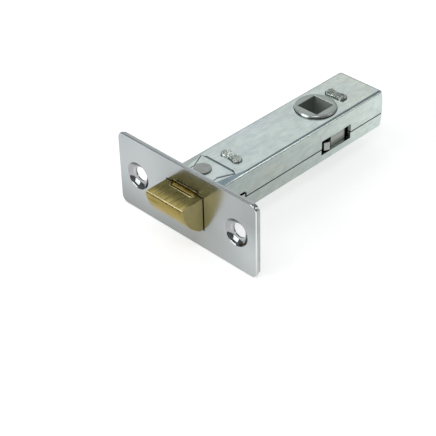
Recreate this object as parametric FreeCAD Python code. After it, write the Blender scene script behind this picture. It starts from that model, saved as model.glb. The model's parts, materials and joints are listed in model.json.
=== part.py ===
"""Tubular mortice door latch, in millimetres.

The origin is the centre of the face plate's front. +X points out of the door edge, the way the bolt
projects. +Y runs along the face plate and +Z is the axis of the spindle.
"""
import FreeCAD, Part
import math
import os

Vector = FreeCAD.Vector

# Face plate, in two layers
plate_length = 57.0
plate_height = 25.5
plate_corner_r = 2.3
plate_edge_r = 0.35
dress_thickness = 0.85
forend_thickness = 0.9
forend_end_inset = 0.12
forend_top_inset = 0.45

# Screw holes, pressed into the dress plate as dishes
screw_end_margin = 8.0
screw_hole_r = 2.4
screw_head_r = 4.5
screw_rim_r = 0.7
dish_depth = 2.0
dish_land = 0.45
dish_wall = 0.75
dish_bow = 0.25
dish_clearance = 0.1

# Spindle and hub
backset = 57.0
spindle_square = 8.0
drum_wall = 0.7
journal_wall = 1.15
journal_clearance = 0.1
journal_rim_r = 0.8
hub_proud = 0.95
square_edge_r = 0.15
flange_thickness = 0.8
flange_end_clearance = 0.15
flange_side_clearance = 0.3
horn_reach = 9.3
horn_width = 2.4
horn_tip_r = 0.5
horn_sweep_deg = 24.6
horn_height = 2.8
horn_window_clearance = 0.45

# Case, folded in two shells
sheet = 1.2
case_height = 13.8
tail_room = 22.4
side_bend_r = 1.1
tail_bend_r = 1.5
lower_tail_bend_r = 0.7
tail_bow = 0.75
inner_bend_r = 0.3
seam_z = -1.4
front_seam_z = 0.0
front_seam_end = -16.5
seam_gap = 0.5
lower_inset = 0.1
slot_front = -13.2
slot_length = 2.7
slot_height = 0.5
window_half = 6.9
window_top = 1.35
window_bottom = -3.85

# Tongue of the forend plate, and its rivet
tongue_half = 4.6
tongue_relief = 0.6
tongue_bend_r = 0.5
tongue_neck_end = -8.6
tongue_tip_x = -13.7
tongue_tip_half = 6.9
tongue_end = -14.4
tongue_end_half = 5.2
tongue_gap = 0.3
taper_drop = 0.6
rivet_x = -9.0
rivet_y = -1.7
rivet_head_r = 2.75
rivet_head_height = 0.45
rivet_edge_r = 0.2
rivet_shank_r = 1.6
rivet_tail_r = 2.2
rivet_clearance = 0.02

# Bridges staked through both shells
front_bridge_x = -19.4
rear_bridge_behind_hub = 9.75
bridge_thickness = 2.3
bridge_half = 4.3
tenon_shoulder = 0.95
tenon_clearance = 0.05
stake_spread = 0.45
stake_corner_r = 1.3
stake_height = 0.4

# Bolt
bolt_projection = 8.5
latch_throw = 8.0
bolt_side_clearance = 0.2
bolt_top_clearance = 0.25
bevel_radius = 13.0
bevel_foot = 1.65
nose_setback = 0.35
nose_drop = 0.55
bolt_edge_r = 0.2
pocket_half = 5.0
pocket_depth = 0.5
pocket_front = 1.9
pocket_deepest = 1.5
pocket_rear = -0.9
pocket_corner_r = 1.1
bolt_tail_length = 12.0
bolt_tail_clearance = 0.4
aperture_side_clearance = 0.3
aperture_top_clearance = 0.25
aperture_bottom_clearance = 0.6
notch_side_clearance = 0.3
notch_height = 0.75
notch_corner_r = 0.6
stop_clearance = 0.3

# Stem, its pin, washer and clip
stem_r = 2.5
stem_clearance = 0.15
stem_socket_clearance = 0.03
stem_socket_depth = 4.4
stem_tail = 0.45
stem_horn_clearance = 1.2
pin_r = 0.9
pin_wall = 0.6
pin_clearance = 0.02
pin_bite = 1.2
pin_inset = 0.3
washer_r = 4.0
washer_thickness = 0.6
clip_r = 4.0
clip_thickness = 0.7
clip_groove_depth = 0.6
clip_mouth_half = 1.5
end_play = 0.05

# Yoke, folded from sheet
yoke_sheet = 0.85
yoke_side_clearance = 0.2
yoke_hub_clearance = 0.3
yoke_bend_r = 1.2
yoke_flange_clearance = 0.4
yoke_bar_clearance = 1.0
yoke_corner_length = 3.0
hook_play = 0.7
hook_lip = 1.1
hook_behind_hub = 6.5
lug_clearance = 0.3

# Springs
latch_wire_r = 0.45
latch_turns = 7
latch_stem_clearance = 0.55
return_wire_r = 0.25
return_turns = 9
return_side_clearance = 0.3
spring_gap = 0.1

# Working sizes: how far a cut runs past a face, and how near counts as the same place
cut_past = 1.0
same_place = 0.001

# Places that follow from those sizes
hub_x = -backset
square_half = spindle_square / 2
square_corner = square_half * math.sqrt(2)
drum_r = square_corner + drum_wall
journal_r = square_corner + journal_wall
arm_inner = drum_r + yoke_hub_clearance
arm_outer = arm_inner + yoke_sheet
cavity_half = arm_outer + yoke_side_clearance
case_half = cavity_half + sheet
case_top = case_height / 2
cavity_top = case_top - sheet
plate_back = -(dress_thickness + forend_thickness)
screw_spacing = plate_length - 2 * screw_end_margin
tail_x = hub_x - tail_room
tail_bow_r = (case_top ** 2 + tail_bow ** 2) / (2 * tail_bow)
hub_top = case_top + hub_proud
cavity_tail = tail_x + sheet
rear_bridge_x = hub_x - rear_bridge_behind_hub
tenon_half = bridge_half - tenon_shoulder
flange_outer = cavity_top - flange_end_clearance
flange_inner = flange_outer - flange_thickness
horn_bottom = window_bottom + horn_window_clearance
horn_top = horn_bottom + horn_height
bolt_half = cavity_half - bolt_side_clearance
bolt_top = cavity_top - bolt_top_clearance
tongue_bottom = case_top - forend_thickness
bridge_front = front_bridge_x + bridge_thickness / 2
web_rear = bridge_front + stop_clearance + 2 * latch_throw
pin_x = web_rear + pin_wall + pin_r
pin_top = stem_r + pin_bite
stem_front = web_rear + stem_socket_depth
stem_end = hub_x + horn_reach + stem_horn_clearance + 2 * latch_throw
clip_rear = stem_end + stem_tail
clip_front = clip_rear + clip_thickness
washer_rear = clip_front + end_play
washer_front = washer_rear + washer_thickness
yoke_base_rear = washer_front + end_play
yoke_base_front = yoke_base_rear + yoke_sheet
yoke_half = flange_inner - yoke_flange_clearance
hook_bottom = window_bottom
hook_rear = hub_x - hook_behind_hub
lug_inner = bridge_half + lug_clearance
latch_coil_r = stem_r + latch_stem_clearance + latch_wire_r
return_axis_y = (bridge_half + cavity_half) / 2
return_axis_z = (yoke_half + hook_bottom) / 2
return_coil_r = (cavity_half - bridge_half) / 2 - return_side_clearance - return_wire_r


def block(x_low, x_high, y_low, y_high, z_low, z_high):
    corner = Vector(x_low, y_low, z_low)
    return Part.makeBox(x_high - x_low, y_high - y_low, z_high - z_low, corner)


def rod(radius, start, end):
    axis = end - start
    return Part.makeCylinder(radius, axis.Length, start, axis)


def face_of(points):
    return Part.Face(Part.makePolygon(points + points[:1]))


def plan_prism(outline, z_low, z_high):
    points = [Vector(x, y, z_low) for x, y in outline]
    return face_of(points).extrude(Vector(0, 0, z_high - z_low))


def edges_along(shape, axis, keep):
    chosen = []
    for edge in shape.Edges:
        if edge.Curve.TypeId != "Part::GeomLine":
            continue
        along = edge.tangentAt(edge.FirstParameter)
        if along.cross(axis).Length < same_place and keep(edge.CenterOfMass):
            chosen.append(edge)
    return chosen


def mirrored(shape):
    return shape.mirror(Vector(0, 0, 0), Vector(0, 1, 0))


def both_sides(shape):
    return [shape, mirrored(shape)]


def turned(outline, centre):
    """Solid of revolution about a line along X, from (x, r) points."""
    points = [Vector(x, centre.y + r, centre.z) for x, r in outline]
    return face_of(points).revolve(centre, Vector(1, 0, 0), 360)


def rounded_plate(end_inset, top_inset, x_low, x_high):
    half_y = plate_length / 2 - end_inset
    half_z = plate_height / 2 - top_inset
    plate = block(x_low, x_high, -half_y, half_y, -half_z, half_z)
    corners = edges_along(plate, Vector(1, 0, 0), lambda centre: True)
    return plate.makeFillet(plate_corner_r - end_inset, corners)


def screw_centres():
    return [Vector(0, side * screw_spacing / 2, 0) for side in (-1, 1)]


def dish_back(x, offset):
    """Radius of the dish's back at a place along its depth, grown by an offset."""
    slope = (screw_head_r - screw_hole_r) / (dish_depth - dish_land)
    thickness = (dish_wall + offset) * math.sqrt(1 + slope ** 2)
    return screw_head_r + slope * x + thickness


def dish_bowl(centre):
    """Bowl-shaped hollow of a screw dish, with the straight hole behind it."""
    rim = Vector(0, centre.y + screw_head_r, 0)
    neck = Vector(dish_land - dish_depth, centre.y + screw_hole_r, 0)
    chord = neck - rim
    outward = Vector(chord.y, -chord.x, 0)
    outward.normalize()
    middle = (rim + neck) / 2 + outward * dish_bow
    hole_end = Vector(-dish_depth, neck.y, 0)
    axis_end = Vector(-dish_depth, centre.y, 0)
    outline = [
        Part.makeLine(centre, rim),
        Part.Arc(rim, middle, neck).toShape(),
        Part.makeLine(neck, hole_end),
        Part.makeLine(hole_end, axis_end),
        Part.makeLine(axis_end, centre),
    ]
    return Part.Face(Part.Wire(outline)).revolve(centre, Vector(1, 0, 0), 360)


def is_ring(edge, radius):
    return abs(edge.BoundBox.YLength - 2 * radius) < same_place


def make_dress_plate():
    plate = rounded_plate(0, 0, -dress_thickness, 0)
    rim = [edge for edge in plate.Edges if abs(edge.BoundBox.XMin) < same_place]
    plate = plate.makeFillet(plate_edge_r, rim)
    at_plate = dish_back(-dress_thickness, 0)
    at_end = dish_back(-dish_depth, 0)
    boss_start = -dress_thickness / 2
    for centre in screw_centres():
        boss = turned(
            [(boss_start, 0), (boss_start, at_plate), (-dress_thickness, at_plate),
             (-dish_depth, at_end), (-dish_depth, 0)], centre)
        plate = plate.fuse(boss).cut(dish_bowl(centre))
    rims = [edge for edge in plate.Edges
            if abs(edge.BoundBox.XMin) < same_place and is_ring(edge, screw_head_r)]
    plate = plate.makeFillet(screw_rim_r, rims)
    half = bolt_half + aperture_side_clearance
    top = bolt_top + aperture_top_clearance
    bottom = -bolt_top - aperture_bottom_clearance
    aperture = block(plate_back, cut_past, -half, half, bottom, top)
    notch_half = pocket_half + notch_side_clearance
    notch = block(plate_back, cut_past, -notch_half, notch_half, 0, top + notch_height)
    upper = edges_along(notch, Vector(1, 0, 0), lambda centre: centre.z > 0)
    notch = notch.makeFillet(notch_corner_r, upper)
    return plate.cut(aperture).cut(notch)


def tongue_outline(gap):
    """Plan of the tongue from its bend to its flared end, grown by a gap."""
    side = [
        (plate_back - tongue_bend_r, tongue_half + gap),
        (tongue_neck_end, tongue_half + gap),
        (tongue_tip_x, tongue_tip_half + gap),
        (tongue_end - gap, tongue_end_half + gap),
    ]
    return side + [(x, -y) for x, y in reversed(side)]


def rivet_body(clearance):
    shank = rod(rivet_shank_r + clearance, Vector(rivet_x, rivet_y, tongue_bottom),
                Vector(rivet_x, rivet_y, case_top))
    tail_height = rivet_tail_r - rivet_shank_r
    tail = Part.makeCone(rivet_tail_r + clearance, rivet_shank_r + clearance, tail_height,
                         Vector(rivet_x, rivet_y, tongue_bottom))
    return shank.fuse(tail)


def make_forend_plate():
    plate = rounded_plate(forend_end_inset, forend_top_inset, plate_back, -dress_thickness)
    at_plate = dish_back(-dress_thickness, dish_clearance)
    hole_back = dish_back(plate_back, dish_clearance)
    for centre in screw_centres():
        hole = turned([(-dress_thickness, 0), (-dress_thickness, at_plate), (plate_back, hole_back),
                       (plate_back, 0)], centre)
        plate = plate.cut(hole)
    half = bolt_half + aperture_side_clearance
    bend_z = case_top + tongue_bend_r
    bottom = -bolt_top - aperture_bottom_clearance
    aperture = block(plate_back - cut_past, 0, -half, half, bottom, tongue_bottom)
    root_half = tongue_half + tongue_relief
    root = block(plate_back - cut_past, 0, -root_half, root_half, 0, bend_z)
    plate = plate.cut(aperture).cut(root)
    bend_x = plate_back - tongue_bend_r
    outer_r = tongue_bend_r + forend_thickness
    bend = rod(outer_r, Vector(bend_x, -tongue_half, bend_z), Vector(bend_x, tongue_half, bend_z))
    hollow = rod(tongue_bend_r, Vector(bend_x, -tongue_half, bend_z), Vector(bend_x, tongue_half, bend_z))
    quarter = block(bend_x, bend_x + outer_r, -tongue_half, tongue_half, bend_z - outer_r, bend_z)
    bend = bend.cut(hollow).common(quarter)
    strip = plan_prism(tongue_outline(0), tongue_bottom, case_top)
    tongue = strip.cut(rivet_body(rivet_clearance))
    return plate.fuse(bend).fuse(tongue).removeSplitter()


def make_tongue_rivet():
    head = rod(rivet_head_r, Vector(rivet_x, rivet_y, case_top),
               Vector(rivet_x, rivet_y, case_top + rivet_head_height))
    rim = [edge for edge in head.Edges if edge.BoundBox.ZMin > case_top + rivet_head_height / 2]
    head = head.makeFillet(rivet_edge_r, rim)
    return head.fuse(rivet_body(0)).removeSplitter()


def shell_tub(half, z_low, z_high, tail_bend):
    """Folded tub, open at the front and below, with its bends rounded and its tail bowed."""
    tail_end = tail_x - tail_bow
    outer = block(tail_end, plate_back, -half, half, z_low, z_high)
    bow_x = tail_end + tail_bow_r
    bow = rod(tail_bow_r, Vector(bow_x, -half, 0), Vector(bow_x, half, 0))
    behind = block(tail_end, tail_x + tail_bow, -half, half, z_low, z_high).cut(bow)
    outer = outer.cut(behind)
    top_tail = edges_along(outer, Vector(0, 1, 0), lambda c: c.x < hub_x and c.z > z_high - same_place)
    outer = outer.makeFillet(tail_bend, top_tail)
    sides = [edge for edge in outer.Edges
             if abs(abs(edge.CenterOfMass.y) - half) < same_place
             and edge.CenterOfMass.z > z_low + same_place
             and edge.CenterOfMass.x < plate_back - same_place]
    outer = outer.makeFillet(side_bend_r, sides)
    inside = half - sheet
    hollow = block(cavity_tail, plate_back + cut_past, -inside, inside, z_low - cut_past, z_high - sheet)
    folds = [edge for edge in hollow.Edges
             if edge.CenterOfMass.z > z_low and edge.CenterOfMass.x < plate_back + cut_past / 2]
    hollow = hollow.makeFillet(inner_bend_r, folds)
    return outer.cut(hollow)


def case_openings(shell, z_low, z_high):
    """Cuts the journal hole, the tenon slots and the side windows."""
    hole = rod(journal_r + journal_clearance, Vector(hub_x, 0, z_low), Vector(hub_x, 0, z_high))
    shell = shell.cut(hole)
    for x in (front_bridge_x, rear_bridge_x):
        reach = bridge_thickness / 2 + tenon_clearance
        half = tenon_half + tenon_clearance
        shell = shell.cut(block(x - reach, x + reach, -half, half, z_low, z_high))
    window = block(hub_x - window_half, hub_x + window_half, arm_outer, case_half + cut_past,
                   window_bottom, window_top)
    for side in both_sides(window):
        shell = shell.cut(side)
    return shell


def shoulder_taper():
    """Wedge over the shoulder beside the tongue, which slopes outward and is widest at the plate."""
    inner = tongue_half + tongue_gap
    outer = case_half + cut_past
    spread = (tongue_tip_half - tongue_half) / (plate_back - tongue_tip_x)
    slope = taper_drop / (case_half - inner)
    floor = [
        Vector(plate_back, inner, case_top),
        Vector(plate_back - (outer - inner) / spread, outer, case_top),
        Vector(plate_back, outer, case_top - slope * (outer - inner)),
    ]
    return face_of(floor).extrude(Vector(0, 0, case_top))


def make_upper_shell():
    shell = shell_tub(case_half, seam_z, case_top, tail_bend_r)
    shell = case_openings(shell, 0, case_top + cut_past)
    past = case_half + cut_past
    step = block(front_seam_end, plate_back + cut_past, -past, past, seam_z - cut_past, front_seam_z)
    shell = shell.cut(step)
    slot_top = front_seam_z + slot_height
    slot = block(slot_front - slot_length, slot_front, -past, past, front_seam_z, slot_top)
    shell = shell.cut(slot)
    shell = shell.cut(plan_prism(tongue_outline(tongue_gap), tongue_bottom - cut_past, case_top + cut_past))
    neck = tongue_half + tongue_gap
    root = block(plate_back - tongue_bend_r, plate_back + cut_past, -neck, neck, 0, case_top + cut_past)
    shell = shell.cut(root)
    for taper in both_sides(shoulder_taper()):
        shell = shell.cut(taper)
    return shell.removeSplitter()


def make_lower_shell():
    tub = shell_tub(case_half - lower_inset, -front_seam_z + seam_gap, case_top, lower_tail_bend_r)
    tub.rotate(Vector(0, 0, 0), Vector(1, 0, 0), 180)
    shell = case_openings(tub, -case_top - cut_past, 0)
    past = case_half + cut_past
    drop = block(tail_x - tail_bow - cut_past, front_seam_end + seam_gap, -past, past,
                 seam_z - seam_gap, case_top)
    return shell.cut(drop).removeSplitter()


def stake(x, z, outward):
    """Peened end of a tenon: wider at its two ends than at its waist."""
    half_waist = bridge_thickness / 2
    half_width = half_waist + stake_spread
    stake_half = tenon_half + stake_spread
    lobe = stake_half - half_width
    outline = [
        (x - half_width, -stake_half), (x + half_width, -stake_half), (x + half_width, -lobe),
        (x + half_waist, 0), (x + half_width, lobe), (x + half_width, stake_half),
        (x - half_width, stake_half), (x - half_width, lobe), (x - half_waist, 0),
        (x - half_width, -lobe),
    ]
    low = min(z, z + outward * stake_height)
    head = plan_prism(outline, low, low + stake_height)
    corners = edges_along(head, Vector(0, 0, 1), lambda c: abs(c.y) > lobe + same_place)
    return head.makeFillet(stake_corner_r, corners)


def bridge_at(x):
    half_x = bridge_thickness / 2
    bridge = block(x - half_x, x + half_x, -bridge_half, bridge_half, -cavity_top, cavity_top)
    tenons = block(x - half_x, x + half_x, -tenon_half, tenon_half, -case_top, case_top)
    bridge = bridge.fuse(tenons)
    for outward in (-1, 1):
        bridge = bridge.fuse(stake(x, outward * case_top, outward))
    return bridge.removeSplitter()


def make_front_bridge():
    hole = rod(stem_r + stem_clearance, Vector(front_bridge_x - bridge_thickness, 0, 0),
               Vector(front_bridge_x + bridge_thickness, 0, 0))
    return bridge_at(front_bridge_x).cut(hole)


def make_rear_bridge():
    return bridge_at(rear_bridge_x)


def horn(angle_deg):
    arm = block(0, horn_reach, -horn_width / 2, horn_width / 2, horn_bottom, horn_top)
    tip = edges_along(arm, Vector(0, 0, 1), lambda c: c.x > horn_reach / 2)
    arm = arm.makeFillet(horn_tip_r, tip)
    arm.rotate(Vector(0, 0, 0), Vector(0, 0, 1), angle_deg)
    arm.translate(Vector(hub_x, 0, 0))
    return arm


def make_follower():
    foot = Vector(hub_x, 0, -hub_top)
    head = Vector(hub_x, 0, hub_top)
    journal = rod(journal_r, foot, head)
    rims = [edge for edge in journal.Edges if abs(abs(edge.CenterOfMass.z) - hub_top) < same_place]
    journal = journal.makeFillet(journal_rim_r, rims)
    waist = rod(journal_r + cut_past, Vector(hub_x, 0, -flange_inner), Vector(hub_x, 0, flange_inner))
    drum = rod(drum_r, Vector(hub_x, 0, -flange_inner), Vector(hub_x, 0, flange_inner))
    body = journal.cut(waist).fuse(drum)
    flange_r = cavity_half - flange_side_clearance
    for outward in (-1, 1):
        start = Vector(hub_x, 0, outward * flange_inner)
        body = body.fuse(rod(flange_r, start, Vector(hub_x, 0, outward * flange_outer)))
    for angle in (90 - horn_sweep_deg, horn_sweep_deg - 90):
        body = body.fuse(horn(angle))
    hole = block(hub_x - square_half, hub_x + square_half, -square_half, square_half,
                 -hub_top - cut_past, hub_top + cut_past)
    body = body.cut(hole).removeSplitter()
    rim = [edge for edge in body.Edges
           if abs(abs(edge.CenterOfMass.z) - hub_top) < same_place
           and edge.Curve.TypeId == "Part::GeomLine"]
    return body.makeChamfer(square_edge_r, rim)


def contact_x():
    """Where the horn's rear flank meets the inner face of the yoke's arm."""
    sweep = math.radians(horn_sweep_deg)
    return hub_x + arm_inner * math.tan(sweep) - horn_width / 2 / math.cos(sweep)


def make_yoke():
    outer = block(hook_rear, yoke_base_front, -arm_outer, arm_outer, -yoke_half, yoke_half)
    bends = edges_along(outer, Vector(0, 0, 1), lambda c: True)
    outer = outer.makeFillet(yoke_bend_r, bends)
    inner = block(hook_rear + yoke_sheet, yoke_base_rear, -arm_inner, arm_inner, -yoke_half, yoke_half)
    bends = edges_along(inner, Vector(0, 0, 1), lambda c: True)
    inner = inner.makeFillet(yoke_bend_r - yoke_sheet, bends)
    yoke = outer.cut(inner)
    gap = block(hook_rear - cut_past, hook_rear + yoke_sheet + cut_past, -lug_inner, lug_inner,
                -yoke_half - cut_past, yoke_half + cut_past)
    yoke = yoke.cut(gap)
    hook_front = contact_x() - hook_play
    under_bar = block(hook_front, yoke_base_rear - yoke_corner_length, -case_half, case_half,
                      -yoke_half - cut_past, horn_top + yoke_bar_clearance)
    yoke = yoke.cut(under_bar)
    under_hook = block(hook_rear - cut_past, hook_front - hook_lip, -case_half, case_half,
                       -yoke_half - cut_past, hook_bottom)
    yoke = yoke.cut(under_hook)
    hole = rod(stem_r + stem_clearance, Vector(yoke_base_rear - cut_past, 0, 0),
               Vector(yoke_base_front + cut_past, 0, 0))
    return yoke.cut(hole)


def bevel_middle(foot, nose):
    """Point half way along the convex bevel between its two ends."""
    chord = nose - foot
    middle = (foot + nose) * 0.5
    outward = Vector(chord.z, 0, -chord.x)
    outward.normalize()
    half = chord.Length / 2
    rise = bevel_radius - math.sqrt(bevel_radius ** 2 - half ** 2)
    return middle + outward * rise


def top_pocket():
    """Scooped recess across the top of the bolt, steep at its front and easing out under the plate."""
    floor_z = bolt_top - pocket_depth
    past = bolt_top + cut_past
    plan = block(pocket_rear, pocket_front, -pocket_half, pocket_half, floor_z, past)
    plan = plan.makeFillet(pocket_corner_r, edges_along(plan, Vector(0, 0, 1), lambda c: True))
    profile = [(pocket_rear, bolt_top), (pocket_deepest, floor_z), (pocket_front, bolt_top),
               (pocket_front, past), (pocket_rear, past)]
    scoop = face_of([Vector(x, -pocket_half, z) for x, z in profile])
    return plan.common(scoop.extrude(Vector(0, 2 * pocket_half, 0)))


def make_latch_bolt():
    rear = web_rear - bolt_tail_length
    foot = Vector(bevel_foot, -bolt_half, -bolt_top)
    nose = Vector(bolt_projection, -bolt_half, bolt_top - nose_drop)
    crest = Vector(bolt_projection - nose_setback, -bolt_half, bolt_top)
    back_top = Vector(rear, -bolt_half, bolt_top)
    back_bottom = Vector(rear, -bolt_half, -bolt_top)
    outline = [
        Part.makeLine(back_bottom, foot),
        Part.Arc(foot, bevel_middle(foot, nose), nose).toShape(),
        Part.makeLine(nose, crest),
        Part.makeLine(crest, back_top),
        Part.makeLine(back_top, back_bottom),
    ]
    bolt = Part.Face(Part.Wire(outline)).extrude(Vector(0, 2 * bolt_half, 0))
    edges = edges_along(bolt, Vector(0, 1, 0), lambda c: c.x > bolt_projection / 2)
    edges += edges_along(bolt, Vector(1, 0, 0), lambda c: c.z > bolt_top - same_place)
    edges += [edge for edge in bolt.Edges if edge.Curve.TypeId == "Part::GeomCircle"]
    bolt = bolt.makeFillet(bolt_edge_r, edges)
    throat_half = bridge_half + bolt_tail_clearance
    past = bolt_top + cut_past
    throat = block(rear - cut_past, web_rear, -throat_half, throat_half, -past, past)
    bolt = bolt.cut(throat)
    bolt = bolt.cut(top_pocket())
    socket = rod(stem_r + stem_socket_clearance, Vector(web_rear - cut_past, 0, 0),
                 Vector(stem_front, 0, 0))
    pin_hole = rod(pin_r + pin_clearance, Vector(pin_x, 0, -past), Vector(pin_x, 0, pin_top))
    return bolt.cut(socket).cut(pin_hole)


def make_bolt_stem():
    stem = rod(stem_r, Vector(stem_end, 0, 0), Vector(stem_front, 0, 0))
    groove_start = Vector(clip_rear, 0, 0)
    groove_end = Vector(clip_front + end_play, 0, 0)
    core = rod(stem_r - clip_groove_depth, groove_start, groove_end)
    groove = rod(stem_r + cut_past, groove_start, groove_end).cut(core)
    pin_hole = rod(pin_r + pin_clearance, Vector(pin_x, 0, -pin_top), Vector(pin_x, 0, pin_top))
    return stem.cut(groove).cut(pin_hole)


def make_stem_pin():
    return rod(pin_r, Vector(pin_x, 0, pin_inset - bolt_top), Vector(pin_x, 0, pin_top))


def make_stem_washer():
    start = Vector(washer_rear, 0, 0)
    end = Vector(washer_front, 0, 0)
    return rod(washer_r, start, end).cut(rod(stem_r + stem_clearance, start, end))


def make_stem_clip():
    start = Vector(clip_rear, 0, 0)
    end = Vector(clip_front, 0, 0)
    inner_r = stem_r - clip_groove_depth + stem_socket_clearance
    clip = rod(clip_r, start, end).cut(rod(inner_r, start, end))
    mouth = block(clip_rear, clip_front, -clip_mouth_half, clip_mouth_half, 0, clip_r + cut_past)
    return clip.cut(mouth)


def coil(x_low, x_high, axis_y, axis_z, coil_r, wire_r, turns):
    """Round-wire spring along X, as long as the room between two places."""
    length = x_high - x_low - 2 * wire_r
    pitch = length / turns
    helix = Part.makeHelix(pitch, length, coil_r)
    slope = math.atan2(pitch, 2 * math.pi * coil_r)
    along_wire = Vector(0, math.cos(slope), math.sin(slope))
    section = Part.Wire(Part.makeCircle(wire_r, Vector(coil_r, 0, 0), along_wire))
    spring = Part.Wire(helix.Edges).makePipeShell([section], True, True)
    spring.rotate(Vector(0, 0, 0), Vector(0, 1, 0), 90)
    spring.translate(Vector(x_low + wire_r, axis_y, axis_z))
    return spring


def make_latch_spring():
    return coil(bridge_front + spring_gap, web_rear - spring_gap, 0, 0, latch_coil_r, latch_wire_r,
                latch_turns)


def make_return_spring(side):
    return coil(cavity_tail + spring_gap, hook_rear - spring_gap, side * return_axis_y, return_axis_z,
                return_coil_r, return_wire_r, return_turns)


pieces = {
    "dress_plate": make_dress_plate(),
    "forend_plate": make_forend_plate(),
    "tongue_rivet": make_tongue_rivet(),
    "upper_shell": make_upper_shell(),
    "lower_shell": make_lower_shell(),
    "front_bridge": make_front_bridge(),
    "rear_bridge": make_rear_bridge(),
    "follower": make_follower(),
    "yoke": make_yoke(),
    "latch_bolt": make_latch_bolt(),
    "bolt_stem": make_bolt_stem(),
    "stem_pin": make_stem_pin(),
    "stem_washer": make_stem_washer(),
    "stem_clip": make_stem_clip(),
    "latch_spring": make_latch_spring(),
    "return_spring_near": make_return_spring(1),
    "return_spring_far": make_return_spring(-1),
}

os.makedirs("parts", exist_ok=True)
for name, shape in pieces.items():
    shape.exportStep(os.path.join("parts", name + ".step"))
    print(name, shape.isValid(), len(shape.Solids), round(shape.Volume, 2))
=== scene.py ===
import json
import math

import bmesh
import bpy
from mathutils import Matrix, Vector, noise


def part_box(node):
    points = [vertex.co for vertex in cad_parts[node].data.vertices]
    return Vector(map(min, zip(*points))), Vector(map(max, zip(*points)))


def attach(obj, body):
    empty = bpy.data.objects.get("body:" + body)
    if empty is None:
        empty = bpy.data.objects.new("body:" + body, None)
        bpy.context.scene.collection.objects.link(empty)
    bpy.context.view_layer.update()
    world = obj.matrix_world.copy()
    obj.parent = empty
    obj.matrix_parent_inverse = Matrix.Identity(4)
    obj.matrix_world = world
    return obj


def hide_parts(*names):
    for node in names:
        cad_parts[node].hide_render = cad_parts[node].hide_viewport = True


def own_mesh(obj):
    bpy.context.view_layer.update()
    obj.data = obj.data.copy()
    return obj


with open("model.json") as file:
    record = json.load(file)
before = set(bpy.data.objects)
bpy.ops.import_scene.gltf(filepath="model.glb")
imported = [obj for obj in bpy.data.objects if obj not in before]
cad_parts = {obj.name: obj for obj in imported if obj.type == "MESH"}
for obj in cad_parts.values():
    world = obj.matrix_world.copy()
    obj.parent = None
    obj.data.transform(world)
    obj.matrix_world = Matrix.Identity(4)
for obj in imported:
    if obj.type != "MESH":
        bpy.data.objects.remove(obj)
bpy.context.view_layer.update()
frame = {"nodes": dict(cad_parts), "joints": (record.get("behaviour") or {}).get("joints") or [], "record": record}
nodes = frame["nodes"]
record = frame["record"]

MM = 0.001


def named(rows, name):
    """The row of a list that has this name."""
    return next(row for row in rows if row["name"] == name)


def reach_along_x(node):
    """A node's lowest and highest place along X."""
    low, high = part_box(node)
    return low[0], high[0]


# Places that the frame gives, in metres
HUB_AXIS = named(frame["joints"], "follower_turn")["pos_m"]
TRAVEL = named(frame["joints"], "yoke_slide")["range_m"][1]
SCREW_PLACE = named(record["mounts"], "face_screws")["dims"]["spacing_x_mm"] / 2 * MM
BOLT_FRONT = named(record["mounts"], "bolt_outlet")["dims"]["length_mm"] * MM
BOLT_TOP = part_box("latch_bolt")[1][2]
CASE_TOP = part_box("upper_shell")[1][2]
PLATE_BACK = reach_along_x("upper_shell")[1]
TONGUE_END, PLATE_SEAM = reach_along_x("forend_plate")
PLATE_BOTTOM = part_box("dress_plate")[0][2]

# Places on the solids that the frame doesn't give, in metres
TONGUE_NECK = -8.6 * MM
DISH_RADIUS = 5.0 * MM
SQUARE_REACH = 5.9 * MM
HORN_ROOT = 7.6 * MM
POCKET_HALF = 5.0 * MM
POCKET_FRONT = 1.9 * MM
POCKET_CORNER = 1.1 * MM
# How fast the tongue widens on each side toward its end
TONGUE_TAPER = 0.451
# Where the painted light and shade along the case's near side starts and ends, along X
PAINTED_LIGHT_REAR = -75.0 * MM
PAINTED_LIGHT_FRONT = -15.0 * MM
# Where the painted reflection on the plate's near half starts and is full, along Y, and its reach up and down
PAINTED_SHINE_START = 4.0 * MM
PAINTED_SHINE_FULL = 24.0 * MM
PAINTED_SHINE_HEIGHT = 11.0 * MM
# How near a thing has to be to paint shade on the plate
NEAR_SHADE_REACH = 14.0 * MM

# Looks. A mask is a number from 0 to 1 over the surface.

# Values that most of a noise lies between
NOISE_LOW = 0.3
NOISE_HIGH = 0.7
# Rays that feel for crevices at each point
CREVICE_RAYS = 8
# Sockets of a Mix node that blends colours
MIX_FACTOR = 0
MIX_FIRST = 6
MIX_SECOND = 7
MIX_RESULT = 2
# Noise with no grain, and with grain along the latch
EVEN = (1.0, 1.0, 1.0)
DRAWN = (1.0, 14.0, 14.0)


def new_material(name, metallic):
    material = bpy.data.materials.new(name)
    material.use_nodes = True
    tree = material.node_tree
    shader = tree.nodes["Principled BSDF"]
    shader.inputs["Metallic"].default_value = metallic
    return material, tree, shader


def put(tree, value, socket):
    """Links a socket to another one, or sets it to a number, a vector or a colour."""
    if isinstance(value, bpy.types.NodeSocket):
        tree.links.new(value, socket)
    else:
        socket.default_value = value


def calc(tree, operation, *values):
    """Result of a Math node."""
    node = tree.nodes.new("ShaderNodeMath")
    node.operation = operation
    for value, socket in zip(values, node.inputs):
        put(tree, value, socket)
    return node.outputs[0]


def vector_calc(tree, operation, *values):
    """Result of a Vector Math node: a number for a distance or a dot product, else a vector."""
    node = tree.nodes.new("ShaderNodeVectorMath")
    node.operation = operation
    for value, socket in zip(values, node.inputs):
        put(tree, value, socket)
    gives_number = operation in ("DISTANCE", "DOT_PRODUCT")
    return node.outputs["Value" if gives_number else "Vector"]


def value_range(tree, value, low, high, to_low, to_high):
    node = tree.nodes.new("ShaderNodeMapRange")
    node.inputs["From Min"].default_value = low
    node.inputs["From Max"].default_value = high
    node.inputs["To Min"].default_value = to_low
    node.inputs["To Max"].default_value = to_high
    tree.links.new(value, node.inputs["Value"])
    return node.outputs["Result"]


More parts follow.
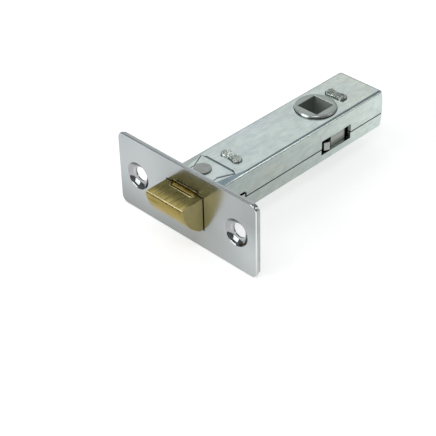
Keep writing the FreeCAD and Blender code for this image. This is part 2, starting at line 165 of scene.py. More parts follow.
def rise(tree, value, start, full):
    """Mask that goes from 0 at the value start to 1 at the value full, which may be the lower one."""
    return value_range(tree, value, start, full, 0.0, 1.0)


def spread(tree, cloud, low, high):
    """A noise as numbers between two limits."""
    return value_range(tree, cloud, NOISE_LOW, NOISE_HIGH, low, high)


def both(tree, first, second):
    """Mask that is full only where both masks are."""
    return calc(tree, "MULTIPLY", first, second)


def coordinate(tree, kind):
    return tree.nodes.new("ShaderNodeTexCoord").outputs[kind]


def along(tree, vector, axis):
    split = tree.nodes.new("ShaderNodeSeparateXYZ")
    tree.links.new(vector, split.inputs["Vector"])
    return split.outputs[axis]


def place_along(tree, axis):
    """Place along one of the part's own axes."""
    return along(tree, coordinate(tree, "Object"), axis)


def facing(tree, axis):
    """How far the surface faces along one of the part's own axes."""
    return along(tree, coordinate(tree, "Normal"), axis)


def object_noise(tree, stretch, scale, detail=4.0, rough=0.6):
    """Noise in the part's own frame, finer along an axis with a larger stretch."""
    mapping = tree.nodes.new("ShaderNodeMapping")
    mapping.inputs["Scale"].default_value = stretch
    tree.links.new(coordinate(tree, "Object"), mapping.inputs["Vector"])
    texture = tree.nodes.new("ShaderNodeTexNoise")
    texture.inputs["Scale"].default_value = scale
    texture.inputs["Detail"].default_value = detail
    texture.inputs["Roughness"].default_value = rough
    tree.links.new(mapping.outputs["Vector"], texture.inputs["Vector"])
    return texture.outputs["Fac"]


def grey(level):
    return (level, level, level)


def ramp(tree, factor, stops):
    """Colour that goes through the stops, each a place from 0 to 1 and a colour."""
    node = tree.nodes.new("ShaderNodeValToRGB")
    elements = node.color_ramp.elements
    while len(elements) < len(stops):
        elements.new(0.5)
    for element, (place, color) in zip(elements, stops):
        element.position = place
        element.color = (*color, 1.0)
    tree.links.new(factor, node.inputs["Fac"])
    return node.outputs["Color"]


def mixed(tree, blend, mask, first, second):
    """Blends a second colour into the first by a mask; the mask and the second may be plain values."""
    node = tree.nodes.new("ShaderNodeMix")
    node.data_type = "RGBA"
    node.blend_type = blend
    put(tree, mask, node.inputs[MIX_FACTOR])
    put(tree, first, node.inputs[MIX_FIRST])
    put(tree, (*second, 1.0) if isinstance(second, tuple) else second, node.inputs[MIX_SECOND])
    return node.outputs[MIX_RESULT]


def tinted(tree, color, mask, tint):
    """Multiplies a colour by a tint where the mask is full."""
    return mixed(tree, "MULTIPLY", mask, color, tint)


def painted(tree, color, mask, paint):
    """Turns a colour into another where the mask is full."""
    return mixed(tree, "MIX", mask, color, paint)


def openness(tree, reach):
    """1 on open surface, and less where something lies within reach."""
    node = tree.nodes.new("ShaderNodeAmbientOcclusion")
    node.samples = CREVICE_RAYS
    node.inputs["Distance"].default_value = reach
    return node.outputs["AO"]


def painted_crevice_shade(tree, color, reach, deepest):
    """Paints shade into a colour in crevices: darker where something lies within reach."""
    shade = ramp(tree, openness(tree, reach), [(0.1, grey(deepest)), (0.36, grey(deepest + 0.2)),
                                               (0.5, grey(0.85)), (0.62, grey(1.0))])
    return tinted(tree, color, 1.0, shade)


def bump(tree, height, strength, distance, under=None):
    node = tree.nodes.new("ShaderNodeBump")
    node.inputs["Strength"].default_value = strength
    node.inputs["Distance"].default_value = distance
    tree.links.new(height, node.inputs["Height"])
    if under is not None:
        tree.links.new(under, node.inputs["Normal"])
    return node.outputs["Normal"]


def metal(name, dark, light, rough, stretch, scale, relief=0.0):
    """Plain steel, streaked between two colours; relief is the height of its grain."""
    material, tree, shader = new_material(name, metallic=1.0)
    streaks = object_noise(tree, stretch, scale)
    color = ramp(tree, streaks, [(NOISE_LOW, dark), (NOISE_HIGH, light)])
    # Painted shade in crevices
    tree.links.new(painted_crevice_shade(tree, color, reach=0.8 * MM, deepest=0.3), shader.inputs["Base Color"])
    cloud = object_noise(tree, EVEN, scale=160.0, detail=3.0)
    tree.links.new(spread(tree, cloud, *rough), shader.inputs["Roughness"])
    if relief:
        fine = object_noise(tree, EVEN, scale=3000.0, detail=2.0)
        coarse = bump(tree, streaks, strength=1.0, distance=relief)
        normal = bump(tree, fine, strength=1.0, distance=0.4 * relief, under=coarse)
        tree.links.new(normal, shader.inputs["Normal"])
    return material


def painted_side_light(tree, color):
    """Painted light and shade along the case's near side, and painted shade and a painted highlight on the facet
    and the bend beside its top.
    """
    near_side = rise(tree, facing(tree, "Y"), 0.8, 0.95)
    forward = rise(tree, place_along(tree, "X"), PAINTED_LIGHT_REAR, PAINTED_LIGHT_FRONT)
    # Painted light and shade: the near side is lighter toward the rear and darker toward the front
    painted_light_along_side = ramp(tree, forward, [(0.0, grey(1.28)), (0.5, grey(0.94)), (1.0, grey(0.80))])
    color = tinted(tree, color, near_side, painted_light_along_side)
    # Painted shade: the sloped facet beside the tongue is darker and bluer
    painted_facet_shade = both(tree, rise(tree, facing(tree, "Y"), 0.08, 0.11),
                   rise(tree, facing(tree, "Z"), 0.965, 0.975))
    color = tinted(tree, color, painted_facet_shade, (0.50, 0.56, 0.64))
    # Painted shade: a darker, bluer line along the upper part of the bend
    painted_bend_shade = both(tree, rise(tree, facing(tree, "Y"), 0.30, 0.36),
                    rise(tree, facing(tree, "Y"), 0.66, 0.58))
    color = tinted(tree, color, painted_bend_shade, (0.52, 0.58, 0.68))
    # Painted highlight: a lighter line along the bend
    rubbed_and_sheen = both(tree, rise(tree, facing(tree, "Y"), 0.62, 0.70),
                  rise(tree, facing(tree, "Y"), 0.95, 0.88))
    return tinted(tree, color, rubbed_and_sheen, grey(1.42))


def forend_shade_and_seam(tree, color):
    """Painted shade on the top edge with a dark line at the seam, and painted shade on the end and near flank of
    the tongue.
    """
    # Painted shade: the plate's top edge is darker
    rim = both(tree, rise(tree, place_along(tree, "X"), PLATE_BACK - 0.08 * MM, PLATE_BACK - 0.03 * MM),
               rise(tree, facing(tree, "Z"), 0.3, 0.6))
    color = tinted(tree, color, rim, (0.74, 0.74, 0.76))
    seam = rise(tree, place_along(tree, "X"), PLATE_SEAM - 0.35 * MM, PLATE_SEAM - 0.20 * MM)
    color = tinted(tree, color, both(tree, rim, seam), (0.35, 0.35, 0.36))
    # Painted shade on the tongue's end and near flank
    painted_tongue_shade = (0.30, 0.33, 0.37)
    tip = rise(tree, place_along(tree, "X"), TONGUE_END + 0.7 * MM, TONGUE_END + 0.3 * MM)
    color = tinted(tree, color, tip, painted_tongue_shade)
    from_taper = calc(tree, "MULTIPLY_ADD", place_along(tree, "X"), TONGUE_TAPER, place_along(tree, "Y"))
    flank = both(tree, rise(tree, from_taper, 0.0, 0.5 * MM),
                 rise(tree, place_along(tree, "X"), TONGUE_NECK + 0.2 * MM, TONGUE_NECK - 0.2 * MM))
    return tinted(tree, color, flank, painted_tongue_shade)


def zinc(name, forend=False):
    """Bright zinc plate: faint rolling lines, and a tint that drifts from blue to straw."""
    material, tree, shader = new_material(name, metallic=1.0)
    drift = object_noise(tree, (0.6, 1.0, 1.0), scale=55.0, detail=2.0, rough=0.5)
    color = ramp(tree, drift, [(0.30, (0.455, 0.505, 0.52)), (0.45, (0.46, 0.525, 0.50)),
                               (0.58, (0.47, 0.53, 0.505)), (0.72, (0.495, 0.53, 0.48))])
    lines = object_noise(tree, (1.0, 16.0, 16.0), scale=130.0, detail=5.0, rough=0.7)
    rolled = ramp(tree, lines, [(0.25, grey(0.90)), (0.6, grey(1.0))])
    color = tinted(tree, color, 1.0, rolled)
    mottle = object_noise(tree, (1.0, 1.6, 1.6), scale=280.0, detail=3.0, rough=0.55)
    bloom = ramp(tree, mottle, [(0.36, (0.92, 0.925, 0.93)), (0.5, grey(1.0)),
                                (0.64, (1.07, 1.065, 1.05))])
    color = tinted(tree, color, 1.0, bloom)
    specks = object_noise(tree, (1.0, 1.4, 1.4), scale=620.0, detail=3.0)
    spots = ramp(tree, specks, [(0.22, (0.72, 0.73, 0.72)), (0.34, grey(1.0))])
    color = tinted(tree, color, 1.0, spots)
    # Painted light and shade along the near side, the facet and the bend
    color = painted_side_light(tree, color)
    # Painted shade on the forend's edge and tongue, and its dark seam line
    if forend:
        color = forend_shade_and_seam(tree, color)
    # Painted shade in crevices, deepest in slots and seams
    tree.links.new(painted_crevice_shade(tree, color, reach=1.2 * MM, deepest=0.1), shader.inputs["Base Color"])
    patches = object_noise(tree, EVEN, scale=120.0, detail=1.0, rough=0.4)
    tree.links.new(spread(tree, patches, 0.21, 0.27), shader.inputs["Roughness"])
    waves = object_noise(tree, EVEN, scale=240.0, detail=2.0)
    dents = bump(tree, waves, strength=0.3, distance=0.01 * MM)
    fine = object_noise(tree, (1.0, 3.0, 3.0), scale=1500.0, detail=3.0)
    normal = bump(tree, fine, strength=0.5, distance=0.003 * MM, under=dents)
    tree.links.new(normal, shader.inputs["Normal"])
    return material


def chrome(name):
    """Polished chrome on the face and in the dishes, rougher along the cut edges, with painted shade on the edges,
    near other parts and in the dishes, a painted reflection on the near half and a painted highlight on the near
    end.
    """
    material, tree, shader = new_material(name, metallic=1.0)
    cloud = object_noise(tree, EVEN, scale=34.0, detail=1.0)
    color = ramp(tree, cloud, [(NOISE_LOW, (0.41, 0.437, 0.448)), (NOISE_HIGH, (0.515, 0.543, 0.55))])
    # Painted shade: the plate's edges are darker; they are also rougher
    edge = both(tree, rise(tree, facing(tree, "X"), 0.35, 0.08), rise(tree, facing(tree, "Y"), 0.7, 0.4))
    color = tinted(tree, color, edge, (0.72, 0.72, 0.735))
    # Painted reflection: the plate's near half is lighter low down and darker high up
    near_half = rise(tree, place_along(tree, "Y"), PAINTED_SHINE_START, PAINTED_SHINE_FULL)
    upward = rise(tree, place_along(tree, "Z"), -PAINTED_SHINE_HEIGHT, PAINTED_SHINE_HEIGHT)
    painted_shine = ramp(tree, upward, [(0.0, (1.55, 1.55, 1.56)), (0.35, grey(1.15)),
                                (0.75, (0.76, 0.76, 0.75)), (1.0, (0.74, 0.74, 0.73))])
    color = tinted(tree, color, near_half, painted_shine)
    # Painted highlight on the rounded near end of the plate
    painted_end_highlight = both(tree, rise(tree, facing(tree, "X"), 0.25, 0.5), rise(tree, facing(tree, "Y"), 0.3, 0.5))
    color = painted(tree, color, painted_end_highlight, (0.86, 0.87, 0.87))
    # Painted shade: the plate is darker where the bolt and other parts lie near it
    painted_near_shade = ramp(tree, openness(tree, NEAR_SHADE_REACH), [(0.55, (0.68, 0.675, 0.65)), (0.97, grey(1.0))])
    color = tinted(tree, color, 1.0, painted_near_shade)
    folded = vector_calc(tree, "ABSOLUTE", coordinate(tree, "Object"))
    from_screw = vector_calc(tree, "DISTANCE", folded, (0.0, SCREW_PLACE, 0.0))
    # Painted shade: the walls of the dishes are darker
    painted_dish_shade = both(tree, rise(tree, from_screw, DISH_RADIUS, DISH_RADIUS - 0.2 * MM),
                rise(tree, facing(tree, "X"), 0.95, 0.85))
    color = tinted(tree, color, painted_dish_shade, (0.50, 0.50, 0.515))
    tree.links.new(color, shader.inputs["Base Color"])
    flat = value_range(tree, facing(tree, "X"), 0.93, 0.995, 0.08, 0.20)
    grain = spread(tree, object_noise(tree, EVEN, scale=300.0), 0.0, 0.04)
    polish = calc(tree, "ADD", flat, grain)
    tree.links.new(calc(tree, "MULTIPLY_ADD", edge, 0.25, polish), shader.inputs["Roughness"])
    return material


def hub(name):
    """Plated hub with a smooth rim that has a painted highlight; the broached walls of its square are duller, with
    painted light on them and painted shade on the wall that faces across.
    """
    material, tree, shader = new_material(name, metallic=1.0)
    cloud = object_noise(tree, EVEN, scale=400.0)
    color = ramp(tree, cloud, [(NOISE_LOW, (0.245, 0.28, 0.262)), (NOISE_HIGH, (0.31, 0.345, 0.325))])
    level = vector_calc(tree, "MULTIPLY", coordinate(tree, "Object"), (1.0, 1.0, 0.0))
    radius = vector_calc(tree, "DISTANCE", level, HUB_AXIS)
    # Painted highlight: the rim is lighter
    rim = both(tree, rise(tree, facing(tree, "Z"), 0.1, 0.3), rise(tree, facing(tree, "Z"), 0.97, 0.9))
    color = painted(tree, color, rim, (0.60, 0.64, 0.62))
    # Painted light: the walls of the square are paler; they are also rougher
    painted_light_wall = both(tree, rise(tree, radius, SQUARE_REACH + 0.05 * MM, SQUARE_REACH - 0.05 * MM),
                rise(tree, facing(tree, "Z"), 0.5, 0.3))
    color = painted(tree, color, painted_light_wall, (0.47, 0.51, 0.485))
    # Painted shade: the wall that faces across is darker
    across = rise(tree, facing(tree, "Y"), 0.5, 0.8)
    color = tinted(tree, color, across, grey(0.66))
    horn = rise(tree, radius, HORN_ROOT - 0.2 * MM, HORN_ROOT + 0.2 * MM)
    color = painted(tree, color, horn, (0.37, 0.39, 0.375))
    tree.links.new(color, shader.inputs["Base Color"])
    plated = spread(tree, cloud, 0.24, 0.32)
    tree.links.new(calc(tree, "MULTIPLY_ADD", painted_light_wall, 0.32, plated), shader.inputs["Roughness"])
    return material


def brass(name):
    """Satin brass, with short rub lines on the top of the bolt and stains on its front; painted shade on its front
    faces and edges, a painted highlight along its top edge, and painted light and shade in its recess.
    """
    material, tree, shader = new_material(name, metallic=1.0)
    shader.inputs["Specular Tint"].default_value = (0.85, 0.82, 0.66, 1.0)
    cloud = object_noise(tree, EVEN, scale=150.0, detail=2.0)
    color = ramp(tree, cloud, [(NOISE_LOW, (0.50, 0.42, 0.185)), (NOISE_HIGH, (0.58, 0.49, 0.23))])

    lines = object_noise(tree, (1.0, 7.0, 7.0), scale=190.0, detail=5.0, rough=0.65)
    rubbed_and_sheen = ramp(tree, lines, [(0.36, (0.25, 0.21, 0.07)), (0.5, (0.41, 0.345, 0.12)),
                                (0.66, (0.55, 0.465, 0.18))])
    nose = rise(tree, place_along(tree, "X"), BOLT_FRONT - 2.9 * MM, BOLT_FRONT - 1.3 * MM)
    rubbed_and_sheen = tinted(tree, rubbed_and_sheen, nose, (0.80, 0.77, 0.65))
    top = value_range(tree, facing(tree, "Z"), 0.9, 0.99, 0.0, 0.8)
    color = painted(tree, color, top, rubbed_and_sheen)

    # Painted shade: the front faces are darker; the same mask carries the stains below
    front = rise(tree, facing(tree, "X"), 0.3, 0.5)
    color = tinted(tree, color, front, (0.60, 0.55, 0.39))
    stain = object_noise(tree, (1.0, 0.45, 1.0), scale=420.0, detail=3.0, rough=0.5)
    worn = ramp(tree, stain, [(0.36, (0.70, 0.72, 0.62)), (0.5, (0.95, 0.95, 0.92)),
                              (0.62, (1.06, 1.04, 0.97))])
    color = tinted(tree, color, front, worn)

    # Painted shade: the rounded edges are darker
    edge = both(tree, rise(tree, facing(tree, "Z"), 0.25, 0.4), rise(tree, facing(tree, "Z"), 0.985, 0.94))
    color = tinted(tree, color, edge, (0.50, 0.46, 0.40))
    # Painted highlight: a bright line along the top edge
    upper = rise(tree, place_along(tree, "Z"), BOLT_TOP - 0.35 * MM, BOLT_TOP - 0.21 * MM)
    color = painted(tree, color, both(tree, edge, upper), (0.84, 0.73, 0.42))

    # Painted light and shade on the recess floor: gold toward the plate, near black toward the lip
    pocket_floor = both(tree, rise(tree, place_along(tree, "Z"), BOLT_TOP - 0.05 * MM, BOLT_TOP - 0.11 * MM),
                        rise(tree, facing(tree, "Z"), 0.9, 0.95))
    painted_pocket_light_and_shade = ramp(tree, rise(tree, place_along(tree, "X"), 0.0, POCKET_FRONT),
               [(0.36, (0.66, 0.51, 0.16)), (0.50, (0.08, 0.06, 0.02))])
    color = painted(tree, color, pocket_floor, painted_pocket_light_and_shade)
    # Painted shade in crevices
    tree.links.new(painted_crevice_shade(tree, color, reach=0.5 * MM, deepest=0.5), shader.inputs["Base Color"])

    patches = object_noise(tree, (1.0, 2.0, 2.0), scale=260.0, detail=3.0)
    tree.links.new(spread(tree, patches, 0.20, 0.28), shader.inputs["Roughness"])
    fine = object_noise(tree, (1.0, 4.0, 4.0), scale=500.0)
    tree.links.new(bump(tree, fine, strength=0.3, distance=0.003 * MM), shader.inputs["Normal"])
    return material


looks = {
    "polished_chrome": chrome("polished_chrome"),
    "zinc_plate": zinc("zinc_plate"),
    "bare_steel": metal("bare_steel", dark=(0.33, 0.35, 0.34), light=(0.42, 0.44, 0.43),
                        rough=(0.42, 0.55), stretch=EVEN, scale=700.0, relief=0.004 * MM),
    "staked_steel": metal("staked_steel", dark=(0.37, 0.41, 0.38), light=(0.66, 0.71, 0.67),
                          rough=(0.08, 0.16), stretch=EVEN, scale=900.0),
    "hub_steel": hub("hub_steel"),
    "inner_steel": metal("inner_steel", dark=(0.31, 0.33, 0.305), light=(0.39, 0.41, 0.38),
                         rough=(0.30, 0.42), stretch=DRAWN, scale=90.0, relief=0.003 * MM),
    "bolt_brass": brass("bolt_brass"),
    "spring_steel": metal("spring_steel", dark=(0.32, 0.32, 0.31), light=(0.42, 0.42, 0.41),
                          rough=(0.28, 0.38), stretch=DRAWN, scale=200.0, relief=0.003 * MM),
}
rear_stake_look = metal("staked_rear", dark=(0.20, 0.225, 0.205), light=(0.42, 0.45, 0.42),
                        rough=(0.16, 0.30), stretch=EVEN, scale=900.0, relief=0.008 * MM)
# Painted reflection: the chrome edge of the notch is coloured like the brass bolt
notch_reflection_look = metal("notch_painted_reflection", dark=(0.52, 0.50, 0.38), light=(0.66, 0.63, 0.48),
                   rough=(0.14, 0.22), stretch=EVEN, scale=400.0)

for part in record["subparts"]:
    materials = nodes[part["node"]].data.materials
    materials.clear()
    materials.append(looks[part["material_slot"]])
nodes["forend_plate"].data.materials[0] = zinc("zinc_forend", forend=True)


def new_piece(name, mesh, look, body):
    """Makes an object of a mesh, with a look, that moves with a body."""
    mesh.materials.append(look)
    piece = bpy.data.objects.new(name, mesh)
    bpy.context.collection.objects.link(piece)
    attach(piece, body)
    return piece


def new_mesh(name, points, faces, smooth):
    mesh = bpy.data.meshes.new(name)
    mesh.from_pydata(points, [], faces)
    mesh.polygons.foreach_set("use_smooth", smooth)
    return mesh


# Rolled edges: faces round the bead and steps round a corner of its path
EDGE_SIDES = 12
CORNER_STEPS = 8


def rolled_edge(name, path, radius, look, body):
    """Round bead along a path of points, closed at both ends."""
    points = []
    for i, spot in enumerate(path):
        ahead = (path[min(i + 1, len(path) - 1)] - path[max(i - 1, 0)]).normalized()
        across = ahead.orthogonal().normalized() if i == 0 else across - ahead * across.dot(ahead)
        across.normalize()
        other = ahead.cross(across)
        for j in range(EDGE_SIDES):
            turn = 2.0 * math.pi * j / EDGE_SIDES
            points.append(spot + (across * math.cos(turn) + other * math.sin(turn)) * radius)
    faces = []
    for i in range(len(path) - 1):
        low = i * EDGE_SIDES
        high = low + EDGE_SIDES
        for j in range(EDGE_SIDES):
            k = (j + 1) % EDGE_SIDES
            faces.append((low + j, low + k, high + k, high + j))
    faces.append(tuple(range(EDGE_SIDES - 1, -1, -1)))
    faces.append(tuple(range(len(points) - EDGE_SIDES, len(points))))
    mesh = new_mesh(name, points, faces, [True] * len(faces))
    new_piece(name, mesh, look, body)


def bay(half, depth, corner, start):
    """Three-sided path with round corners: out along one side, across the front and back."""
    side = [(start, -half)]
    for i in range(CORNER_STEPS + 1):
        angle = math.radians(-90.0 + 90.0 * i / CORNER_STEPS)
        side.append((depth - corner + corner * math.cos(angle), -half + corner + corner * math.sin(angle)))
    return side + [(u, -v) for u, v in reversed(side)]


# Low lip round the recess in the top of the bolt, open under the plate
LIP_RADIUS = 0.14 * MM
LIP_START = 0.1 * MM
LIP_OUTSET = 0.02 * MM
LIP_LIFT = 0.01 * MM
lip_z = BOLT_TOP + LIP_LIFT
lip_outline = bay(half=POCKET_HALF, depth=POCKET_FRONT + LIP_OUTSET, corner=POCKET_CORNER, start=LIP_START)
rolled_edge("pocket_lip", [Vector((u, v, lip_z)) for u, v in lip_outline], LIP_RADIUS,
            looks["bolt_brass"], "bolt")

# Rounded edge of the notch that the plate has over that recess, in the middle of the plate's thickness
# and a hair forward; the foot and the height are over the bolt's top
NOTCH_EDGE_RADIUS = 0.30 * MM
NOTCH_EDGE_SHIFT = 0.005 * MM
NOTCH_CORNER = 0.3 * MM
NOTCH_FOOT = 0.37 * MM
NOTCH_HEIGHT = 0.70 * MM
notch_x = PLATE_SEAM / 2 + NOTCH_EDGE_SHIFT
notch_outline = bay(half=POCKET_HALF, depth=BOLT_TOP + NOTCH_HEIGHT, corner=NOTCH_CORNER,
                    start=BOLT_TOP + NOTCH_FOOT)
rolled_edge("notch_edge", [Vector((notch_x, v, u)) for u, v in notch_outline], NOTCH_EDGE_RADIUS,
            notch_reflection_look, "case")

# Peened heads of the bridges' tenons. Half length, half width of the lobes, depth in the case, height
# over that and width of the rounded rim, in millimetres
HEAD_HALF_LENGTH = 3.95
HEAD_LOBE = 1.78
HEAD_SINK = 0.04
HEAD_HEIGHT = 0.5
HEAD_RIM = 0.22
# Faces along and across a head
HEAD_ROWS = 64
HEAD_COLUMNS = 30
# Share of the half length where the ends start to round off, and the least share of width left there
HEAD_ROUND_FROM = 0.62
HEAD_END_WIDTH = 0.05
# Share of the half length where the waist has widened to the lobe
HEAD_WAIST_END = 0.5
# Hammer marks, in millimetres: large lumps, small ones, a rise of both, and the way in to full height
LARGE_LUMP = 0.62
SMALL_LUMP = 0.26
LUMP_RISE = 0.12
LUMP_RIM = 0.5
# How much finer the small lumps are, and all lumps across the head
SMALL_LUMP_SCALE = 2.6
LUMP_SQUEEZE = 1.15
# Knurl left by the punch, in waves along and across the head
KNURL_ALONG = 7.0
KNURL_ACROSS = 5.0
KNURL_WANDER = 2.0


def head_rise(px, py, inside, seed, knurl):
    """Height of a peened head over its base, at a place that lies so far inside its outline."""
    spot = Vector((px * LUMP_SQUEEZE, py, seed))
    lump = LARGE_LUMP * noise.noise(spot) + SMALL_LUMP * noise.noise(spot * SMALL_LUMP_SCALE)
    wave = math.sin(py * KNURL_ALONG + KNURL_WANDER * noise.noise(spot))
    lump += knurl * wave * math.cos(px * KNURL_ACROSS)
    hammered = max(0.0, lump + LUMP_RISE) * min(1.0, inside / LUMP_RIM)
    rounded = math.sqrt(min(1.0, max(0.0, inside / HEAD_RIM)))
    return (HEAD_HEIGHT + hammered) * rounded


def peened_head(name, node, side, tilt_deg, seed, waist, knurl, look):
    """Lumpy hammered end of a bridge's tenon, a dumb-bell about 7.9 by 3.6 mm, closed underneath."""
    center = sum(reach_along_x(node)) / 2 / MM
    base = CASE_TOP / MM - HEAD_SINK
    tilt = math.radians(tilt_deg)
    points = []
    for i in range(HEAD_ROWS + 1):
        u = -1.0 + 2.0 * i / HEAD_ROWS
        past_round = max(0.0, (abs(u) - HEAD_ROUND_FROM) / (1.0 - HEAD_ROUND_FROM))
        end = max(math.sqrt(max(0.0, 1.0 - past_round ** 2)), HEAD_END_WIDTH)
        half = (waist + (HEAD_LOBE - waist) * min(1.0, abs(u) / HEAD_WAIST_END)) * end
        for j in range(HEAD_COLUMNS + 1):
            v = -1.0 + 2.0 * j / HEAD_COLUMNS
            px = v * half
            py = u * HEAD_HALF_LENGTH
            inside = min((1.0 - abs(v)) * half, (1.0 - abs(u)) * HEAD_HALF_LENGTH)
            z = base + head_rise(px, py, inside, seed, knurl)
            turned_x = center + px * math.cos(tilt) - py * math.sin(tilt)
            turned_y = px * math.sin(tilt) + py * math.cos(tilt)
            points.append((turned_x * MM, turned_y * MM, side * z * MM))
    width = HEAD_COLUMNS + 1
    faces = []
    for i in range(HEAD_ROWS):
        for j in range(HEAD_COLUMNS):
            a = i * width + j
            b = a + width
            faces.append((a, a + 1, b + 1, b) if side < 0 else (a, b, b + 1, a + 1))
    first_row = list(range(HEAD_COLUMNS))
    last_column = [i * width + HEAD_COLUMNS for i in range(HEAD_ROWS)]
    last_row = [HEAD_ROWS * width + j for j in range(HEAD_COLUMNS, 0, -1)]
    first_column = [i * width for i in range(HEAD_ROWS, 0, -1)]
    ring = first_row + last_column + last_row + first_column
    faces.append(tuple(reversed(ring)) if side < 0 else tuple(ring))
    mesh = new_mesh(name, points, faces, [True] * (len(faces) - 1) + [False])
    new_piece(name, mesh, look, "case")


front_kind = {"node": "front_bridge", "waist": 1.33, "knurl": 0.0, "look": looks["staked_steel"]}
rear_kind = {"node": "rear_bridge", "waist": 1.6, "knurl": 0.09, "look": rear_stake_look}
peened_head("peened_front_top", side=1, tilt_deg=-3.0, seed=4.3, **front_kind)
peened_head("peened_front_bottom", side=-1, tilt_deg=3.0, seed=11.7, **front_kind)
peened_head("peened_rear_top", side=1, tilt_deg=4.0, seed=21.9, **rear_kind)
peened_head("peened_rear_bottom", side=-1, tilt_deg=-4.0, seed=33.1, **rear_kind)

# Springs, which shorten toward their rear ends when the yoke or the bolt moves back
# How much longer than the travel the latch spring's rear turns are
SPRING_PLAY = 0.05 * MM
# Points of the mesh that are nearer than this are one
SAME_PLACE = 0.0001 * MM


def coil(name, node, low, high, body, joint):
    """The turns of a spring between two places along X, as a piece that moves with a body."""
    shape = bmesh.new()
    shape.from_mesh(nodes[node].data)
    bmesh.ops.remove_doubles(shape, verts=shape.verts, dist=SAME_PLACE)
    lowest, highest = reach_along_x(node)
    for place, outward in ((low, -1.0), (high, 1.0)):
        if lowest < place < highest:
            cut = bmesh.ops.bisect_plane(shape, geom=shape.verts[:] + shape.edges[:] + shape.faces[:],
                                         plane_co=(place, 0.0, 0.0), plane_no=(outward, 0.0, 0.0),
                                         clear_outer=True)
            rim = [edge for edge in cut["geom_cut"] if isinstance(edge, bmesh.types.BMEdge)]
            bmesh.ops.holes_fill(shape, edges=rim)
    mesh = bpy.data.meshes.new(name)
    shape.to_mesh(mesh)
    shape.free()
    mesh.polygons.foreach_set("use_smooth", [True] * len(mesh.polygons))
    piece = new_piece(name, mesh, looks["spring_steel"], body)
    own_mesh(piece)
    return piece


for side in ("near", "far"):
    spring = "return_spring_" + side
    return_coil = coil("return_coil_" + side, spring, *reach_along_x(spring), "case", "yoke_slide")
    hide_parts(spring)

# The rear turns give way when the yoke slides, the front ones when the bolt slides in the yoke
spring_rear, spring_front = reach_along_x("latch_spring")
spring_split = spring_rear + TRAVEL + SPRING_PLAY
rear_turns = coil("latch_coil_rear", "latch_spring", spring_rear, spring_split, "case", "yoke_slide")
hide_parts("latch_spring")
coil("latch_coil_front", "latch_spring", spring_split, spring_front, "yoke", "bolt_slide")

# Floor: white to the eye and in the metal, and still shaded by the object
FLOOR_SIZE = 4.0
FLOOR_GAP = 0.05 * MM
FLOOR_GREY = 0.66
FLOOR_GLOW = 0.62
FLOOR_ROUGHNESS = 0.9

bpy.ops.mesh.primitive_plane_add(size=FLOOR_SIZE, location=(0, 0, PLATE_BOTTOM - FLOOR_GAP))
floor = bpy.context.object
floor.name = "floor"
paint, tree, shader = new_material("floor_white", metallic=0.0)
shader.inputs["Base Color"].default_value = (*grey(FLOOR_GREY), 1.0)
shader.inputs["Roughness"].default_value = FLOOR_ROUGHNESS
shader.inputs["Specular IOR Level"].default_value = 0.0
ray = tree.nodes.new("ShaderNodeLightPath")
seen = ray.outputs["Is Camera Ray"]
for kind in ("Is Glossy Ray", "Is Transmission Ray"):
    seen = calc(tree, "MAXIMUM", seen, ray.outputs[kind])
shader.inputs["Emission Color"].default_value = (1.0, 1.0, 1.0, 1.0)
tree.links.new(calc(tree, "MULTIPLY", seen, FLOOR_GLOW), shader.inputs["Emission Strength"])
floor.data.materials.append(paint)

# World: a plain studio, palest overhead and behind the latch, darkest low down on the front side
FRONT_SIDE = (0.84, 0.54, 0.0)

world = bpy.data.worlds.new("studio")
bpy.context.scene.world = world
world.use_nodes = True
tree = world.node_tree
sky = tree.nodes["Background"]
direction = coordinate(tree, "Generated")
height = ramp(tree, along(tree, direction, "Z"), [(0.0, (0.17, 0.175, 0.18)), (0.35, (0.25, 0.255, 0.26)),
                                                  (0.55, (0.33, 0.335, 0.34)), (0.75, (0.26, 0.265, 0.27)),
                                                  (1.0, grey(0.42))])
frontward = rise(tree, vector_calc(tree, "DOT_PRODUCT", direction, FRONT_SIDE), -1.0, 1.0)
room = ramp(tree, frontward, [(0.05, grey(2.3)), (0.3, grey(1.4)), (0.5, grey(1.1)),
                              (0.72, grey(0.85)), (0.9, grey(0.7))])
tree.links.new(tinted(tree, height, 1.0, room), sky.inputs["Color"])
sky.inputs["Strength"].default_value = 1.0


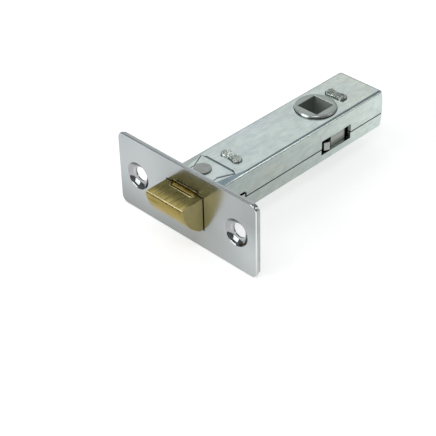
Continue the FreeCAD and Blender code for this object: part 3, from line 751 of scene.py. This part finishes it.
def softbox(name, place, target, size, power):
    """Rectangular lamp, in metres and watts, that points at a target."""
    data = bpy.data.lights.new(name, "AREA")
    data.shape = "RECTANGLE"
    data.size, data.size_y = size
    data.energy = power
    lamp = bpy.data.objects.new(name, data)
    bpy.context.collection.objects.link(lamp)
    lamp.location = place
    aim = Vector(target) - Vector(place)
    lamp.rotation_euler = aim.to_track_quat("-Z", "Y").to_euler()


softbox("key", place=(-0.48, -0.52, 0.58), target=(-0.02, 0.0, 0.0), size=(0.62, 0.46), power=0.50)
softbox("front", place=(0.71, -0.19, 0.26), target=(0.0, 0.0, 0.0), size=(0.46, 0.46), power=2.7)
softbox("bends", place=(-0.46, 0.51, 0.38), target=(-0.03, 0.0, 0.0), size=(0.07, 0.50), power=0.27)
softbox("above", place=(0.29, -0.32, 0.66), target=(0.0, 0.0, 0.0), size=(0.34, 0.34), power=0.55)
softbox("overhead", place=(0.20, 0.24, 0.74), target=(-0.04, 0.0, 0.0), size=(0.30, 0.30), power=0.70)

# Camera, fitted to the photo's corners in a square frame
AZIMUTH = math.radians(135.636)
ELEVATION = math.radians(36.709)
ROLL = math.radians(-1.447)
CAMERA_PLACE = Vector((214.6, 232.9, 230.5)) * MM
SENSOR_WIDTH = 36.0
FOCAL_LENGTH = 110.86
NEAREST_SEEN = 0.01

level_right = Vector((math.cos(AZIMUTH), math.sin(AZIMUTH), 0.0))
back = Vector((math.sin(AZIMUTH) * math.cos(ELEVATION), -math.cos(AZIMUTH) * math.cos(ELEVATION),
               math.sin(ELEVATION)))
level_up = back.cross(level_right)
right = math.cos(ROLL) * level_right + math.sin(ROLL) * level_up
up = math.cos(ROLL) * level_up - math.sin(ROLL) * level_right
lens = bpy.data.cameras.new("camera")
lens.sensor_width = SENSOR_WIDTH
lens.lens = FOCAL_LENGTH
lens.clip_start = NEAREST_SEEN
camera = bpy.data.objects.new("camera", lens)
bpy.context.collection.objects.link(camera)
camera.matrix_world = Matrix((
    (right.x, up.x, back.x, CAMERA_PLACE.x),
    (right.y, up.y, back.y, CAMERA_PLACE.y),
    (right.z, up.z, back.z, CAMERA_PLACE.z),
    (0.0, 0.0, 0.0, 1.0),
))
bpy.context.scene.camera = camera
bpy.context.scene.view_settings.view_transform = "Standard"
